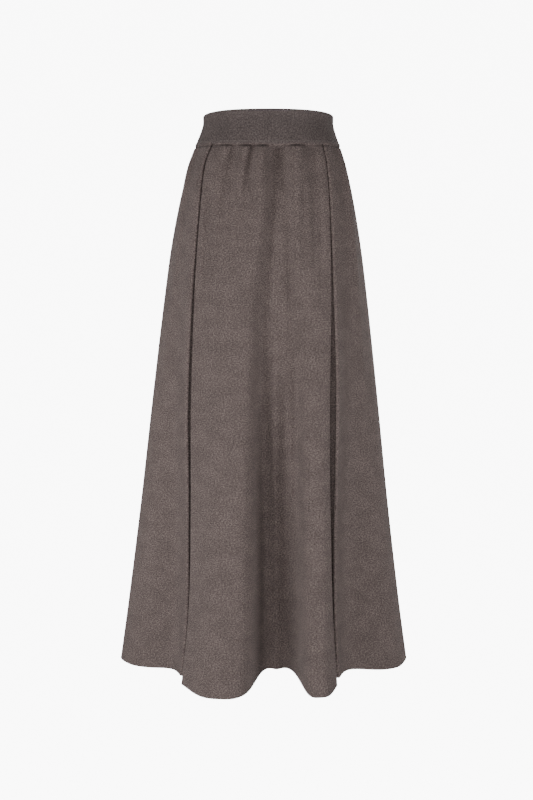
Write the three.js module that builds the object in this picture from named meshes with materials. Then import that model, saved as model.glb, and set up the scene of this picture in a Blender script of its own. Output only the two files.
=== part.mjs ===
// A long A-line skirt in fine knit, in the hollow shape it has when it is worn.
// Its pieces are an elastic waistband, a centre front, two side fronts, a back, and an underlay
// in each of two inverted pleats.
// Millimetres, +Z up, the front towards -Y. The origin is the centre of the waist opening,
// level with the band's top edge.
import * as THREE from 'three';

// Driving dimensions
const clothThickness = 1.8;
const seamGap = 0.3;
const skirtLength = 920;
const band = { frontHeight: 55, sideHeight: 50, thickness: 4.2 };
// Lobes of the hem hang lower than its troughs, by this share of how far they stand out
const hemDropShare = 0.25;

// The outline at a few levels, along the middle of the cloth. down is measured from the band's
// top edge, left and right are half widths, and front, side and back are the depths of the
// centre front, the side fronts and the back. square rounds the outline: 2 would be an ellipse.
const sections = [
  { down: 0, left: 106, right: 107, front: 84, side: 84, back: 85, square: 2.4 },
  { down: 17, left: 107, right: 107.5, front: 85, side: 85, back: 86, square: 2.4 },
  { down: 52, left: 120, right: 118.5, front: 93, side: 93, back: 95, square: 2.45 },
  { down: 100, left: 137, right: 134, front: 101, side: 101, back: 106, square: 2.5 },
  { down: 200, left: 159, right: 153, front: 111, side: 107, back: 120, square: 2.4 },
  { down: 305, left: 174.5, right: 167, front: 117, side: 104, back: 128, square: 2.35 },
  { down: 475, left: 196, right: 186, front: 124, side: 97, back: 138, square: 2.3 },
  { down: 645, left: 216.5, right: 204, front: 131, side: 89, back: 149, square: 2.25 },
  { down: 815, left: 239, right: 224.5, front: 138, side: 81, back: 162, square: 2.2 },
  { down: 920, left: 254, right: 239, front: 142, side: 76, back: 171, square: 2.2 },
];

// Where the two pleats close, across the front
const pleatLines = [
  { down: 52, left: -90, right: 89 },
  { down: 85, left: -102, right: 95 },
  { down: 150, left: -110, right: 100 },
  { down: 300, left: -121, right: 104.5 },
  { down: 475, left: -127.5, right: 105.5 },
  { down: 645, left: -128, right: 105 },
  { down: 815, left: -132, right: 108.5 },
  { down: 920, left: -142.5, right: 115 },
];

// How far each pleat stands open: a little over its whole length, most at openAt, and hemGap at
// the hem, where less than nothing means that the centre front overlaps the side front. hemStep
// is how far the centre front then stands forward of the side front.
const pleats = {
  left: { side: -1, closedGap: 1, hemGap: -3, hemStep: 36, openBy: 2.2, openAt: 420, openSpread: 150 },
  right: { side: 1, closedGap: 1, hemGap: 1.6, hemStep: 32, openBy: 6.2, openAt: 490, openSpread: 165 },
};
const pleatDepth = { top: 20, hem: 30 };
const foldRadius = { top: 1.35, hem: 5 };
const returnSpread = { top: 0.4, hem: 5 };
// The underlay bulges inwards, all of it from this share of the way down
const underlayBulge = { top: 6, full: 26, fullFrom: 0.45 };
const underlayLead = 0.45;
const stepStarts = 430;
const overlapStarts = 720;
// A side front's fold edge comes forward to meet the centre front's. The lift dies out over this
// reach, and the lower its power, the sharper it is at the edge.
const liftReach = { top: 15, hem: 9.5 };
const liftPower = { top: 2.4, hem: 1.1 };

// Folds that grow from the level starts down to the hem. at is the place across the panel, as a
// share of its width, and wide is the half width, each at the start and at the hem. deep is how
// far the cloth stands out at the hem, or in if it is less than nothing, and steep is the power of
// the fold's curve there: the higher it is, the flatter the fold and the steeper its flanks.
const centreFlares = [
  { at: [0.34, 0.24], wide: [34, 56.5], deep: 46, starts: 190, growth: 1.15, steep: 3.3 }, // left lobe
  { at: [0.575, 0.611], wide: [24, 36.5], deep: -46, starts: 170, growth: 1, steep: 4 }, // main trough
  { at: [0.605, 0.612], wide: [7, 8], deep: 4, starts: 170, growth: 0.6, steep: 2 }, // ridge in the trough
  { at: [0.94, 0.887], wide: [26, 27.5], deep: 43, starts: 230, growth: 1.15, steep: 3.7 }, // right lobe
];
const sideFlares = {
  left: [{ at: [0.55, 0.47], wide: [30, 45], deep: 7.5, starts: 350, growth: 1.2, steep: 2.4 }],
  right: [{ at: [0.6, 0.51], wide: [26, 47], deep: 17, starts: 420, growth: 1.3, steep: 2.4 }],
};
const backFlares = [
  { at: [0.22, 0.17], wide: [30, 44], deep: 26, starts: 210, growth: 1.3, steep: 3 }, // left lobe
  { at: [0.36, 0.33], wide: [24, 36], deep: -24, starts: 260, growth: 1.3, steep: 3 }, // left trough
  { at: [0.49, 0.49], wide: [30, 44], deep: 34, starts: 200, growth: 1.25, steep: 3 }, // middle lobe
  { at: [0.63, 0.66], wide: [24, 38], deep: -26, starts: 240, growth: 1.3, steep: 3 }, // right trough
  { at: [0.78, 0.82], wide: [30, 44], deep: 28, starts: 220, growth: 1.3, steep: 3 }, // right lobe
];

// Gathers that the waistband draws in. They start small at its seam, are full a little below
// it, and are gone at the level ends. at is the place across at the seam and where they end.
const gatherAtSeam = 0.2;
const gatherRise = 22;
const centreGathers = [
  { at: [0.12, 0.14], wide: 10, deep: 2.4, ends: 230 },
  { at: [0.21, 0.22], wide: 8, deep: -2.4, ends: 220 },
  { at: [0.305, 0.31], wide: 8, deep: 2.8, ends: 260 },
  { at: [0.385, 0.36], wide: 7, deep: -2.6, ends: 230 },
  { at: [0.455, 0.4], wide: 9, deep: 4.6, ends: 400 },
  { at: [0.575, 0.58], wide: 16, deep: -5, ends: 380 },
  { at: [0.745, 0.7], wide: 14, deep: 4, ends: 340 },
  { at: [0.89, 0.87], wide: 9, deep: -3, ends: 300 },
];
const sideGathers = {
  left: [
    { at: [0.45, 0.5], wide: 8, deep: 2.6, ends: 260 },
    { at: [0.72, 0.75], wide: 7, deep: -2.4, ends: 230 },
  ],
  right: [
    { at: [0.4, 0.42], wide: 9, deep: 3.4, ends: 560 },
    { at: [0.68, 0.7], wide: 8, deep: -3, ends: 300 },
  ],
};
const backGathers = [
  { at: [0.08, 0.08], wide: 8, deep: 2.2, ends: 200 },
  { at: [0.2, 0.21], wide: 9, deep: 3, ends: 280 },
  { at: [0.29, 0.3], wide: 8, deep: -2.8, ends: 240 },
  { at: [0.37, 0.38], wide: 8, deep: 2.6, ends: 230 },
  { at: [0.45, 0.46], wide: 9, deep: -3, ends: 270 },
  { at: [0.53, 0.52], wide: 10, deep: 3.4, ends: 320 },
  { at: [0.62, 0.62], wide: 8, deep: -2.6, ends: 240 },
  { at: [0.71, 0.72], wide: 9, deep: 2.8, ends: 260 },
  { at: [0.8, 0.8], wide: 8, deep: -2.4, ends: 220 },
  { at: [0.9, 0.9], wide: 8, deep: 2.4, ends: 210 },
];
// A gather's flanks, and those of every fold where it starts, are steeper than a bell curve's,
// whose power is 2
const foldPower = 2.4;
// Folds die out over these shares of a panel's width, so that its edges meet their neighbours
const fadeShare = { sideAtPleat: 0.12, sideAtSeam: 0.14, backAtSeams: 0.08 };
// The seam under the band dips at the front and back. Rows below this share of the way are level.
const seamDipShare = 0.12;

// How finely the walls are divided
const rows = 16;
const rowCrowding = 1.2;
const columns = { centre: 44, side: 17, back: 44, fold: 4, pleatReturn: 3, underlay: 8, band: 72 };
const bandSteps = { top: 4, face: 4 };
const samples = 160;
const finer = 8;

const lerp = (a, b, t) => a + (b - a) * t;
const clamp01 = (t) => Math.min(1, Math.max(0, t));
const smooth = (from, to, x) => {
  const t = clamp01((x - from) / (to - from));
  return t * t * (3 - 2 * t);
};

// The value of a table's column at a level, on a smooth curve through its rows
function valueAt(table, column, down) {
  let i = table.findIndex((row) => row.down > down);
  if (i < 0) i = table.length - 1;
  i = Math.max(1, i);
  const slope = (k) => {
    const a = table[Math.max(0, k - 1)];
    const b = table[Math.min(table.length - 1, k + 1)];
    return (b[column] - a[column]) / (b.down - a.down);
  };
  const [a, b] = [table[i - 1], table[i]];
  const span = b.down - a.down;
  const t = clamp01((down - a.down) / span);
  const [t2, t3] = [t * t, t * t * t];
  return (2 * t3 - 3 * t2 + 1) * a[column] + (t3 - 2 * t2 + t) * span * slope(i - 1)
    + (3 * t2 - 2 * t3) * b[column] + (t3 - t2) * span * slope(i);
}

const sectionAt = (column, down) => valueAt(sections, column, down);
const halfWidthAt = (x, down) => sectionAt(x < 0 ? 'left' : 'right', down);
const downShare = (down) => clamp01((down - band.sideHeight) / (skirtLength - band.sideHeight));
const growing = (size, down) => lerp(size.top, size.hem, downShare(down));
const bump = (distance, wide, power = foldPower) => Math.exp(-((Math.abs(distance) / wide) ** power));

// How far the folds and gathers push the cloth out at a share of the panel's width
function pushedOut(flares, gathers, share, width, down) {
  let out = 0;
  for (const { at, wide, deep, starts, growth, steep } of flares) {
    const t = clamp01((down - starts) / (skirtLength - starts));
    const power = lerp(foldPower, steep, Math.sqrt(t));
    out += deep * t ** growth * bump((share - lerp(...at, t)) * width, lerp(...wide, t), power);
  }
  for (const { at, wide, deep, ends } of gathers) {
    const t = clamp01((down - band.sideHeight) / (ends - band.sideHeight));
    const drawnIn = lerp(gatherAtSeam, 1, smooth(0, gatherRise, down - band.sideHeight));
    const size = deep * drawnIn * (1 - smooth(0, 1, t));
    out += size * bump((share - lerp(...at, t)) * width, wide * (1 + t));
  }
  return out;
}

// The outline's depth at a place across, and its reach from the middle at an angle from the front
function depthAt(x, halfWidth, depth, square) {
  return depth * (1 - Math.abs(x / halfWidth) ** square) ** (1 / square);
}
function reachAt(angle, halfWidth, depth, square) {
  const [across, forwards] = [Math.abs(Math.sin(angle) / halfWidth), Math.abs(Math.cos(angle) / depth)];
  return (across ** square + forwards ** square) ** (-1 / square);
}

// Where a pleat's two edges lie at a level
function pleatEdges(pleat, down) {
  const line = valueAt(pleatLines, pleat.side < 0 ? 'left' : 'right', Math.max(down, pleatLines[0].down));
  const opening = pleat.openBy * Math.exp(-(((down - pleat.openAt) / pleat.openSpread) ** 2));
  const gap = lerp(pleat.closedGap, pleat.hemGap, smooth(overlapStarts, skirtLength, down)) + opening;
  const setBack = gap / 2 + growing(foldRadius, down) + clothThickness / 2;
  return { centre: line - pleat.side * setBack, side: line + pleat.side * setBack };
}

// A section's points are [x, y, out]: out is how far folds push it, which the hem's drop is
// worked out from. This one is the centre front between its two fold edges, from left to right.
function centreSection(down) {
  const [x0, x1] = [pleatEdges(pleats.left, down).centre, pleatEdges(pleats.right, down).centre];
  const [front, square] = [sectionAt('front', down), sectionAt('square', down)];
  return Array.from({ length: samples + 1 }, (_, i) => {
    const share = i / samples;
    const x = lerp(x0, x1, share);
    const out = pushedOut(centreFlares, centreGathers, share, x1 - x0, down);
    return [x, -depthAt(x, halfWidthAt(x, down), front, square) - out, out];
  });
}

// A side front, from its fold edge to the side seam. Its fold edge is lifted to meet the centre
// front's.
function sideSection(name, down) {
  const pleat = pleats[name];
  const x0 = pleatEdges(pleat, down).side;
  const halfWidth = halfWidthAt(x0, down);
  const [depth, square] = [sectionAt('side', down), sectionAt('square', down)];
  const centre = centreSection(down);
  const centreEdge = -centre[pleat.side < 0 ? 0 : samples][1];
  const step = pleat.hemStep * smooth(stepStarts, skirtLength, down);
  const y0 = depthAt(x0, halfWidth, depth, square);
  const lift = centreEdge - step - y0;
  const angle0 = Math.atan2(Math.abs(x0), y0);
  const width = halfWidth - Math.abs(x0) + depth;
  const [liftWide, power] = [growing(liftReach, down), growing(liftPower, down)];
  return Array.from({ length: samples + 1 }, (_, i) => {
    const share = i / samples;
    const angle = lerp(angle0, Math.PI / 2, share);
    const fade = smooth(0, fadeShare.sideAtPleat, share) * smooth(1, 1 - fadeShare.sideAtSeam, share);
    const out = pushedOut(sideFlares[name], sideGathers[name], share, width, down) * fade;
    const reach = reachAt(angle, halfWidth, depth, square) + out;
    const x = pleat.side * reach * Math.sin(angle);
    return [x, -reach * Math.cos(angle) - lift * bump(x - x0, liftWide, power), out];
  });
}

// The back, from the left side seam to the right one
function backSection(down) {
  const [back, square] = [sectionAt('back', down), sectionAt('square', down)];
  const width = sectionAt('left', down) + sectionAt('right', down) + back;
  const { backAtSeams } = fadeShare;
  return Array.from({ length: samples + 1 }, (_, i) => {
    const share = i / samples;
    const angle = Math.PI * lerp(3 / 2, 1 / 2, share);
    const halfWidth = halfWidthAt(Math.sin(angle), down);
    const fade = smooth(0, backAtSeams, share) * smooth(1, 1 - backAtSeams, share);
    const out = pushedOut(backFlares, backGathers, share, width, down) * fade;
    const reach = reachAt(angle, halfWidth, back, square) + out;
    return [reach * Math.sin(angle), -reach * Math.cos(angle), out];
  });
}

const stepLength = (path, i) => Math.hypot(path[i][0] - path[i - 1][0], path[i][1] - path[i - 1][1]);
const lengthOf = (path) => path.reduce((sum, p, i) => sum + (i ? stepLength(path, i) : 0), 0);

// A path's points at even distances along it, with a length trimmed off each end
function evenly(path, count, trimStart = 0, trimEnd = 0) {
  const along = [0];
  for (let i = 1; i < path.length; i++) along.push(along[i - 1] + stepLength(path, i));
  const end = along[along.length - 1] - trimEnd;
  let k = 1;
  return Array.from({ length: count + 1 }, (_, i) => {
    const wanted = lerp(trimStart, end, i / count);
    while (k < path.length - 1 && along[k] < wanted) k++;
    const t = (wanted - along[k - 1]) / (along[k] - along[k - 1]);
    return path[k].map((value, axis) => lerp(path[k - 1][axis], value, t));
  });
}

// The unit direction of travel at a path's point, and the direction to its right, which is
// inwards on a path that runs with the cloth's outside on its left
function directions(path, i) {
  const [a, b] = [path[Math.max(0, i - 1)], path[Math.min(path.length - 1, i + 1)]];
  const length = Math.hypot(b[0] - a[0], b[1] - a[1]);
  const along = [(b[0] - a[0]) / length, (b[1] - a[1]) / length];
  return { along, right: [along[1], -along[0]] };
}

const moved = (p, dx, dy) => [p[0] + dx, p[1] + dy, p[2]];

// The cloth that turns back behind a fold edge. path ends at the edge, and inwards is 1 if its
// inside is on its right, or -1 if on its left.
function foldAndReturn(path, down, inwards) {
  const radius = growing(foldRadius, down);
  const last = path.length - 1;
  const { along, right } = directions(path, last);
  const fold = Array.from({ length: columns.fold }, (_, i) => {
    const angle = (Math.PI * (i + 1)) / columns.fold;
    const [ahead, behind] = [radius * Math.sin(angle), radius * (1 - Math.cos(angle)) * inwards];
    return moved(path[last], along[0] * ahead + right[0] * behind, along[1] * ahead + right[1] * behind);
  });
  const beyond = lengthOf(path) - growing(pleatDepth, down);
  const strip = evenly([...path].reverse(), columns.pleatReturn * finer, 0, beyond);
  const turned = Array.from({ length: columns.pleatReturn }, (_, i) => {
    const at = (i + 1) * finer;
    const inside = directions(strip, at).right;
    const offset = (2 * radius + growing(returnSpread, down) * ((i + 1) / columns.pleatReturn)) * -inwards;
    return moved(strip[at], inside[0] * offset, inside[1] * offset);
  });
  return [...fold, ...turned];
}

// Each panel's whole section at a level, from one cut edge to the other
const centrePanel = (down) => {
  const path = centreSection(down);
  const outer = evenly(path, columns.centre);
  const rightEdge = foldAndReturn(path, down, -1);
  const leftEdge = foldAndReturn([...path].reverse(), down, 1);
  return [...leftEdge.reverse(), ...outer, ...rightEdge];
};
const sidePanel = (name) => (down) => {
  const path = sideSection(name, down);
  const outer = evenly(path, columns.side, 0, seamGap / 2);
  const edge = foldAndReturn([...path].reverse(), down, name === 'left' ? -1 : 1);
  const section = [...edge.reverse(), ...outer];
  return name === 'left' ? section.reverse() : section;
};
const backPanel = (down) => evenly(backSection(down), columns.back, seamGap / 2, seamGap / 2).reverse();

// The strip behind a pleat, sewn to the ends of the two returns and hanging free between them
const underlay = (name) => (down) => {
  const centre = centrePanel(down);
  const side = sidePanel(name)(down);
  const isLeft = name === 'left';
  const [fromCentre, fromSide] = isLeft ? [centre, [...side].reverse()] : [[...centre].reverse(), side];
  const behind = clothThickness + seamGap;
  const inwards = isLeft ? 1 : -1;
  const seam = (path, sign) => {
    const { along, right } = directions(path, 0);
    const inside = right.map((value) => value * sign);
    return { along, inside, at: moved(path[0], inside[0] * behind, inside[1] * behind) };
  };
  const [a, b] = [seam(fromCentre, inwards), seam(fromSide, -inwards)];
  const ahead = growing(pleatDepth, down) * underlayLead;
  const { top, full, fullFrom } = underlayBulge;
  const bulge = lerp(top, full, smooth(0, fullFrom, downShare(down)));
  const control = (s) => [0, 1].map((axis) => s.at[axis] + s.along[axis] * ahead + s.inside[axis] * bulge);
  const corners = [a.at, control(a), control(b), b.at].map(([x, y]) => new THREE.Vector2(x, y));
  const points = new THREE.CubicBezierCurve(...corners).getSpacedPoints(columns.underlay)
    .map((p, i) => [p.x, p.y, lerp(a.at[2], b.at[2], i / columns.underlay)]);
  return isLeft ? points.reverse() : points;
};

// The middle of a piece's wall as rows of points, from the band's seam down to the hem
function wallMiddle(sectionOf) {
  return Array.from({ length: rows + 1 }, (_, row) => {
    const t = (row / rows) ** rowCrowding;
    const down = lerp(band.sideHeight + seamGap, skirtLength, t);
    return sectionOf(down).map(([x, y, out]) => {
      const facing = (y / Math.hypot(x, y)) ** 2;
      const dip = (band.frontHeight - band.sideHeight) * facing * (1 - smooth(0, seamDipShare, t));
      return new THREE.Vector3(x, y, -(down + dip + out * hemDropShare * t * t));
    });
  });
}

function meshGeometry(positions, index) {
  const geometry = new THREE.BufferGeometry();
  geometry.setAttribute('position', new THREE.Float32BufferAttribute(positions, 3));
  geometry.setIndex(index);
  geometry.computeVertexNormals();
  return geometry;
}

// A closed wall of the given thickness around a grid of points
function wallGeometry(middle, thickness) {
  const [height, width] = [middle.length, middle[0].length];
  const [across, downwards, normal] = [new THREE.Vector3(), new THREE.Vector3(), new THREE.Vector3()];
  const positions = [];
  for (const side of [1, -1]) {
    for (let r = 0; r < height; r++) {
      for (let c = 0; c < width; c++) {
        across.subVectors(middle[r][Math.min(width - 1, c + 1)], middle[r][Math.max(0, c - 1)]);
        downwards.subVectors(middle[Math.min(height - 1, r + 1)][c], middle[Math.max(0, r - 1)][c]);
        normal.crossVectors(downwards, across);
        if (r === 0 || r === height - 1) normal.z = 0; // so that the cut edge is level
        normal.normalize();
        positions.push(...middle[r][c].clone().addScaledVector(normal, (side * thickness) / 2).toArray());
      }
    }
  }
  const index = [];
  const quad = (a, b, c, d) => index.push(a, b, c, a, c, d);
  const at = (layer, r, c) => layer * height * width + r * width + c;
  for (let r = 0; r < height - 1; r++) {
    for (let c = 0; c < width - 1; c++) {
      quad(at(0, r, c), at(0, r + 1, c), at(0, r + 1, c + 1), at(0, r, c + 1));
      quad(at(1, r, c), at(1, r, c + 1), at(1, r + 1, c + 1), at(1, r + 1, c));
    }
    quad(at(0, r, 0), at(1, r, 0), at(1, r + 1, 0), at(0, r + 1, 0));
    quad(at(0, r, width - 1), at(0, r + 1, width - 1), at(1, r + 1, width - 1), at(1, r, width - 1));
  }
  for (let c = 0; c < width - 1; c++) {
    quad(at(0, 0, c), at(0, 0, c + 1), at(1, 0, c + 1), at(1, 0, c));
    quad(at(0, height - 1, c), at(1, height - 1, c), at(1, height - 1, c + 1), at(0, height - 1, c + 1));
  }
  return meshGeometry(positions, index);
}

// The waistband: knit folded double over its elastic, with a round top edge, swept round the waist
function waistbandGeometry() {
  const half = band.thickness / 2;
  // Each profile point is [share of the way down, how far out from the middle, extra height]
  const profile = [];
  for (let i = 0; i <= bandSteps.face; i++) profile.push([1 - i / bandSteps.face, half, 0]);
  for (let i = 1; i < bandSteps.top; i++) {
    const angle = (Math.PI * i) / bandSteps.top;
    profile.push([0, half * Math.cos(angle), half * Math.sin(angle)]);
  }
  for (let i = 0; i <= bandSteps.face; i++) profile.push([i / bandSteps.face, -half, 0]);
  const positions = [];
  for (let c = 0; c < columns.band; c++) {
    const angle = (2 * Math.PI * c) / columns.band;
    const height = lerp(band.sideHeight, band.frontHeight, Math.cos(angle) ** 2);
    for (const [share, out, up] of profile) {
      const down = half + share * (height - half);
      const halfWidth = halfWidthAt(Math.sin(angle), down);
      const depth = sectionAt(Math.cos(angle) > 0 ? 'front' : 'back', down);
      const reach = reachAt(angle, halfWidth, depth, sectionAt('square', down)) + out;
      positions.push(reach * Math.sin(angle), -reach * Math.cos(angle), up - down);
    }
  }
  const count = profile.length;
  const index = [];
  for (let c = 0; c < columns.band; c++) {
    const [here, next] = [c * count, ((c + 1) % columns.band) * count];
    for (let p = 0; p < count; p++) {
      const q = (p + 1) % count;
      index.push(here + p, next + p, next + q, here + p, next + q, here + q);
    }
  }
  return meshGeometry(positions, index);
}

const cloth = { roughness: 0.95, metalness: 0 };
const skirtKnit = new THREE.MeshStandardMaterial({ name: 'skirt_knit', color: 0x675a56, ...cloth });
const bandKnit = new THREE.MeshStandardMaterial({ name: 'band_knit', color: 0x5d514e, ...cloth });

const skirt = new THREE.Group();
function addPiece(name, geometry, material) {
  const mesh = new THREE.Mesh(geometry, material);
  mesh.name = name;
  skirt.add(mesh);
}

addPiece('waistband', waistbandGeometry(), bandKnit);
addPiece('front_centre', wallGeometry(wallMiddle(centrePanel), clothThickness), skirtKnit);
addPiece('back', wallGeometry(wallMiddle(backPanel), clothThickness), skirtKnit);
for (const name of ['left', 'right']) {
  addPiece(`front_side_${name}`, wallGeometry(wallMiddle(sidePanel(name)), clothThickness), skirtKnit);
  addPiece(`pleat_underlay_${name}`, wallGeometry(wallMiddle(underlay(name)), clothThickness), skirtKnit);
}

export default skirt;
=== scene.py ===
# %% [markdown]
# A long knit skirt
# This file dresses a plain model of a long A-line skirt. The real skirt is fine melange knit: a wide
# elastic waistband, a centre front between two inverted pleats, two side fronts, and a back.
# Only the way it was cut and gathered shapes it, so each piece is built from its own outline at
# every level, as the plain model is, but with many more points and with the smaller creases.
# Cloth simulation could drape the panels too, but the skirt keeps the shape it has on a wearer, and
# formulas hold that shape exactly.

# %% Load the plain model
import math

import bpy
import numpy as np
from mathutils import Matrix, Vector


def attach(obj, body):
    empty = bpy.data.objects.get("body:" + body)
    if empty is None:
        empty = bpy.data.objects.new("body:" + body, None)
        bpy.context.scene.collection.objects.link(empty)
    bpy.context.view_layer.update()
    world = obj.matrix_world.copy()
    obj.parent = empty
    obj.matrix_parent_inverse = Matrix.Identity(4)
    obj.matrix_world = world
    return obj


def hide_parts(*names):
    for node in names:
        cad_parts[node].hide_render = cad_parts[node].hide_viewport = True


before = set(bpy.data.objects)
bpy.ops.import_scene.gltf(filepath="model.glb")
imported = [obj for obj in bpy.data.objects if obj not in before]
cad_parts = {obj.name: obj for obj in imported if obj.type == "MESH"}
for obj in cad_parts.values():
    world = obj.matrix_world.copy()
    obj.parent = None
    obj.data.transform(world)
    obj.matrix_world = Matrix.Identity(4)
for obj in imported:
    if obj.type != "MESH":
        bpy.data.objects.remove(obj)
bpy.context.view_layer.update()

print("nodes:", ", ".join(sorted(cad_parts)))

# %% [markdown]
# The sizes
# A maker works in millimetres, so every size below is in millimetres, and a mesh is turned to metres
# when it is made. The outline table gives half widths and depths at a few levels below the band's
# top edge. The number called square rounds the outline: 2 is an ellipse, and more is boxier.

# %% Sizes of the skirt
MM = 0.001
CLOTH = 1.8
SEAM_GAP = 0.3
SKIRT_LENGTH = 920.0
BAND_FRONT, BAND_SIDE, BAND_THICK = 55.0, 50.0, 4.2
HEM_DROP_SHARE = 0.25  # the hem hangs lower by this share of how far a fold pushes it out


def table(columns, rows):
    """A table's columns by name, each as an array."""
    return {name: np.array([row[k] for row in rows], float) for k, name in enumerate(columns)}


OUTLINE = table(
    ("down", "left", "right", "front", "side", "back", "square"),
    [
        (0, 106, 107, 84, 84, 85, 2.4),
        (17, 107, 107.5, 85, 85, 86, 2.4),
        (52, 120, 118.5, 93, 93, 95, 2.45),
        (100, 137, 134, 101, 101, 106, 2.5),
        (200, 159, 153, 111, 107, 120, 2.4),
        (305, 174.5, 167, 117, 104, 128, 2.35),
        (475, 196, 186, 124, 97, 138, 2.3),
        (645, 216.5, 204, 131, 89, 149, 2.25),
        (815, 239, 224.5, 138, 81, 162, 2.2),
        (920, 254, 239, 142, 76, 171, 2.2),
    ],
)
PLEAT_LINES = table(
    ("down", "left", "right"),
    [
        (52, -90, 89),
        (85, -102, 95),
        (150, -110, 100),
        (300, -121, 104.5),
        (475, -127.5, 105.5),
        (645, -128, 105),
        (815, -132, 108.5),
        (920, -142.5, 115),
    ],
)
LIP = 2.2  # how far the band's lower edge hangs over the cloth that is sewn to it
PLEATS = {
    "left": dict(side=-1, closed=1.0, hem=-3.0, step=36.0, open_by=2.2, open_at=420, spread=150),
    "right": dict(side=1, closed=1.0, hem=-2.4, step=32.0, open_by=7.4, open_at=480, spread=165),
}
# A pair gives a size at the band and at the hem
PLEAT_DEPTH = (20.0, 30.0)
FOLD_RADIUS = {"centre": (1.35, 5.0), "side": (1.35, 2.2)}
RETURN_SPREAD = (0.4, 5.0)
UNDERLAY_BULGE = (6.0, 26.0)
UNDERLAY_BULGE_FROM = 0.45  # the share of the way down where the bulge has its full size
UNDERLAY_LEAD = 0.45
STEP_STARTS, OVERLAP_STARTS = 430.0, 720.0
LIFT_REACH, LIFT_POWER = (15.0, 9.5), (2.4, 1.1)  # how a side front rises to meet the centre
print(f"a skirt {SKIRT_LENGTH:.0f} mm long, with {len(PLEATS)} inverted pleats")

# %% [markdown]
# The folds
# Three kinds of fold shape the cloth. Flares grow from below the hips down to the hem, where the
# cloth has more width than it needs. Gathers start where the band draws the cloth in, and die out.
# Creases are the soft uneven marks that wear and steam leave, each between two levels of its own,
# and the centre front's last four deepen the trough between its lobes and leave a ridge in it.
# A random pattern would be quicker, but it looks like one, so each fold is placed one by one. A fold
# lies at a share of its panel's width, which runs from left to right, or from the pleat to the side
# seam on a side front. Its other numbers are millimetres: half its width, how far it stands out,
# and the levels where it starts and ends. A flare also has the power of its growth and the power
# of its flanks at the hem.

# %% The table of folds
FOLD_POWER = 2.4
# The rows' columns:
# flares: at_top, at_hem, wide_top, wide_hem, deep, starts, growth, hem_power
# gathers: at_top, at_end, wide, deep, ends
# creases: at_top, at_end, wide, deep, starts, ends
FOLDS = {
    "centre": dict(
        flares=[
            (0.34, 0.24, 34, 56.5, 46, 190, 1.15, 3.3),
            (0.575, 0.611, 24, 36.5, -46, 170, 1.0, 4),
            (0.94, 0.887, 26, 27.5, 43, 230, 1.15, 3.7),
            (0.605, 0.612, 7, 8, 4, 170, 0.6, 2),
        ],
        gathers=[
            (0.12, 0.14, 10, 2.4, 230),
            (0.21, 0.22, 8, -2.4, 220),
            (0.305, 0.31, 8, 2.8, 260),
            (0.385, 0.36, 7, -2.6, 230),
            (0.455, 0.4, 9, 4.6, 400),
            (0.622, 0.62, 17, -7.4, 470),
            (0.745, 0.7, 14, 4, 340),
            (0.89, 0.87, 9, -3, 300),
        ],
        creases=[
            (0.055, 0.07, 5, -2.2, 58, 330),
            (0.165, 0.18, 5, -2.0, 52, 260),
            (0.26, 0.28, 5, 2.2, 50, 300),
            (0.345, 0.33, 4, -1.8, 52, 210),
            (0.42, 0.43, 5, -2.4, 50, 280),
            (0.515, 0.5, 6, 2.6, 54, 240),
            (0.575, 0.5, 6.5, -5.0, 20, 440),
            (0.665, 0.745, 8, -6.0, 20, 560),
            (0.8, 0.79, 6, -2.4, 50, 330),
            (0.845, 0.85, 5, 2.2, 56, 300),
            (0.94, 0.93, 5, -2.0, 60, 360),
            (0.3, 0.2, 12, -1.3, 330, 860),
            (0.47, 0.46, 10, 1.2, 420, 900),
            (0.73, 0.74, 9, 1.2, 380, 800),
            (0.62, 0.64, 40, -14, 220, 985),
            (0.485, 0.503, 9, -11, 180, 1010),
            (0.62, 0.63, 13, 10, 190, 1050),
            (0.76, 0.785, 8.5, -11, 200, 1010),
        ],
    ),
    "left": dict(
        flares=[(0.55, 0.47, 30, 45, 7.5, 350, 1.2, 2.4)],
        gathers=[(0.45, 0.5, 8, 2.6, 260), (0.72, 0.75, 7, -2.4, 230)],
        creases=[(0.3, 0.34, 8, -0.9, 70, 420), (0.62, 0.7, 9, 1.1, 240, 760)],
    ),
    "right": dict(
        flares=[(0.6, 0.51, 26, 47, 17, 420, 1.3, 2.4)],
        gathers=[(0.4, 0.42, 9, 3.4, 560), (0.68, 0.7, 8, -3, 300)],
        creases=[(0.25, 0.27, 7, -1.0, 80, 460), (0.55, 0.6, 9, -0.9, 300, 780)],
    ),
    "back": dict(
        flares=[
            (0.22, 0.17, 30, 44, 26, 210, 1.3, 3),
            (0.36, 0.33, 24, 36, -24, 260, 1.3, 3),
            (0.49, 0.49, 30, 44, 34, 200, 1.25, 3),
            (0.63, 0.66, 24, 38, -26, 240, 1.3, 3),
            (0.78, 0.82, 30, 44, 28, 220, 1.3, 3),
        ],
        gathers=[
            (0.08, 0.08, 8, 2.2, 200),
            (0.2, 0.21, 9, 3, 280),
            (0.29, 0.3, 8, -2.8, 240),
            (0.37, 0.38, 8, 2.6, 230),
            (0.45, 0.46, 9, -3, 270),
            (0.53, 0.52, 10, 3.4, 320),
            (0.62, 0.62, 8, -2.6, 240),
            (0.71, 0.72, 9, 2.8, 260),
            (0.8, 0.8, 8, -2.4, 220),
            (0.9, 0.9, 8, 2.4, 210),
        ],
        creases=[
            (0.13, 0.14, 6, -0.9, 62, 220),
            (0.25, 0.27, 6, 0.8, 64, 250),
            (0.41, 0.42, 6, 0.9, 60, 230),
            (0.58, 0.57, 6, 0.8, 62, 260),
            (0.75, 0.76, 6, -0.8, 60, 230),
            (0.3, 0.27, 12, 1.2, 340, 840),
            (0.43, 0.42, 11, -1.2, 400, 880),
            (0.57, 0.59, 12, 1.3, 360, 820),
            (0.71, 0.74, 11, -1.1, 420, 900),
        ],
    ),
}
GATHER_RISE = 9.0  # how far below the seam a gather has its full depth
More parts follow.
